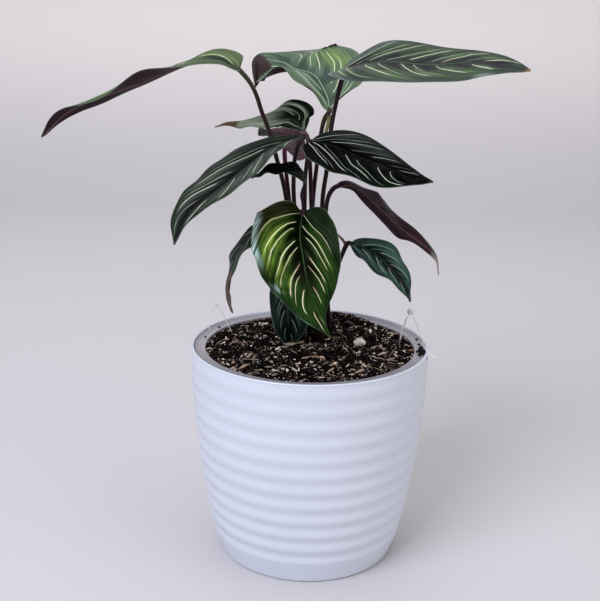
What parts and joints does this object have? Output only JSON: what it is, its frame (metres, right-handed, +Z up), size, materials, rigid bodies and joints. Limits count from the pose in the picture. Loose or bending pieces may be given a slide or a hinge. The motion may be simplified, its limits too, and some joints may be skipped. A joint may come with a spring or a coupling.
{
  "type": "potted calathea",
  "caption": "Young prayer plant with striped, purple-backed leaves on thin stalks, in a growing pot inside a ribbed white cover pot.",
  "frame": {"origin": "centre of the cover pot's flat underside, on the surface it stands on", "axes": "+Z up, -Y towards the viewer of the picture, +X to the viewer's right"},
  "size_m": [0.2746, 0.1711, 0.3232],
  "materials": {
    "white_plastic": "satin white with fine moulded ribs",
    "grey_plastic": "smooth, slightly translucent",
    "soil": "loose damp coir with perlite and bark",
    "leaf": "silky, dark green with paired pale lines above, purple below",
    "stalk": "satin, dark maroon",
    "clear_nylon": "clear, glossy"
  },
  "bodies": {
    "root": {"outer_pot": "white_plastic", "growing_pot": "grey_plastic", "soil": "soil", "stalk_upper_left": "stalk", "blade_upper_left": "leaf", "stalk_upper_back": "stalk", "blade_upper_back": "leaf", "stalk_upper_right": "stalk", "blade_upper_right": "leaf", "stalk_middle_left_small": "stalk", "blade_middle_left_small": "leaf", "stalk_middle_left": "stalk", "blade_middle_left": "leaf", "stalk_middle_right": "stalk", "blade_middle_right": "leaf", "stalk_front": "stalk", "blade_front": "leaf", "stalk_low_front": "stalk", "blade_low_front": "leaf", "stalk_right_folded": "stalk", "blade_right_folded": "leaf", "stalk_lower_right": "stalk", "blade_lower_right": "leaf", "stalk_lower_left": "stalk", "blade_lower_left": "leaf", "stalk_inner_young": "stalk", "blade_inner_young": "leaf", "stalk_behind": "stalk", "blade_behind": "leaf", "pull_loop_left": "clear_nylon", "pull_loop_right": "clear_nylon"}
  },
  "joints": []
}
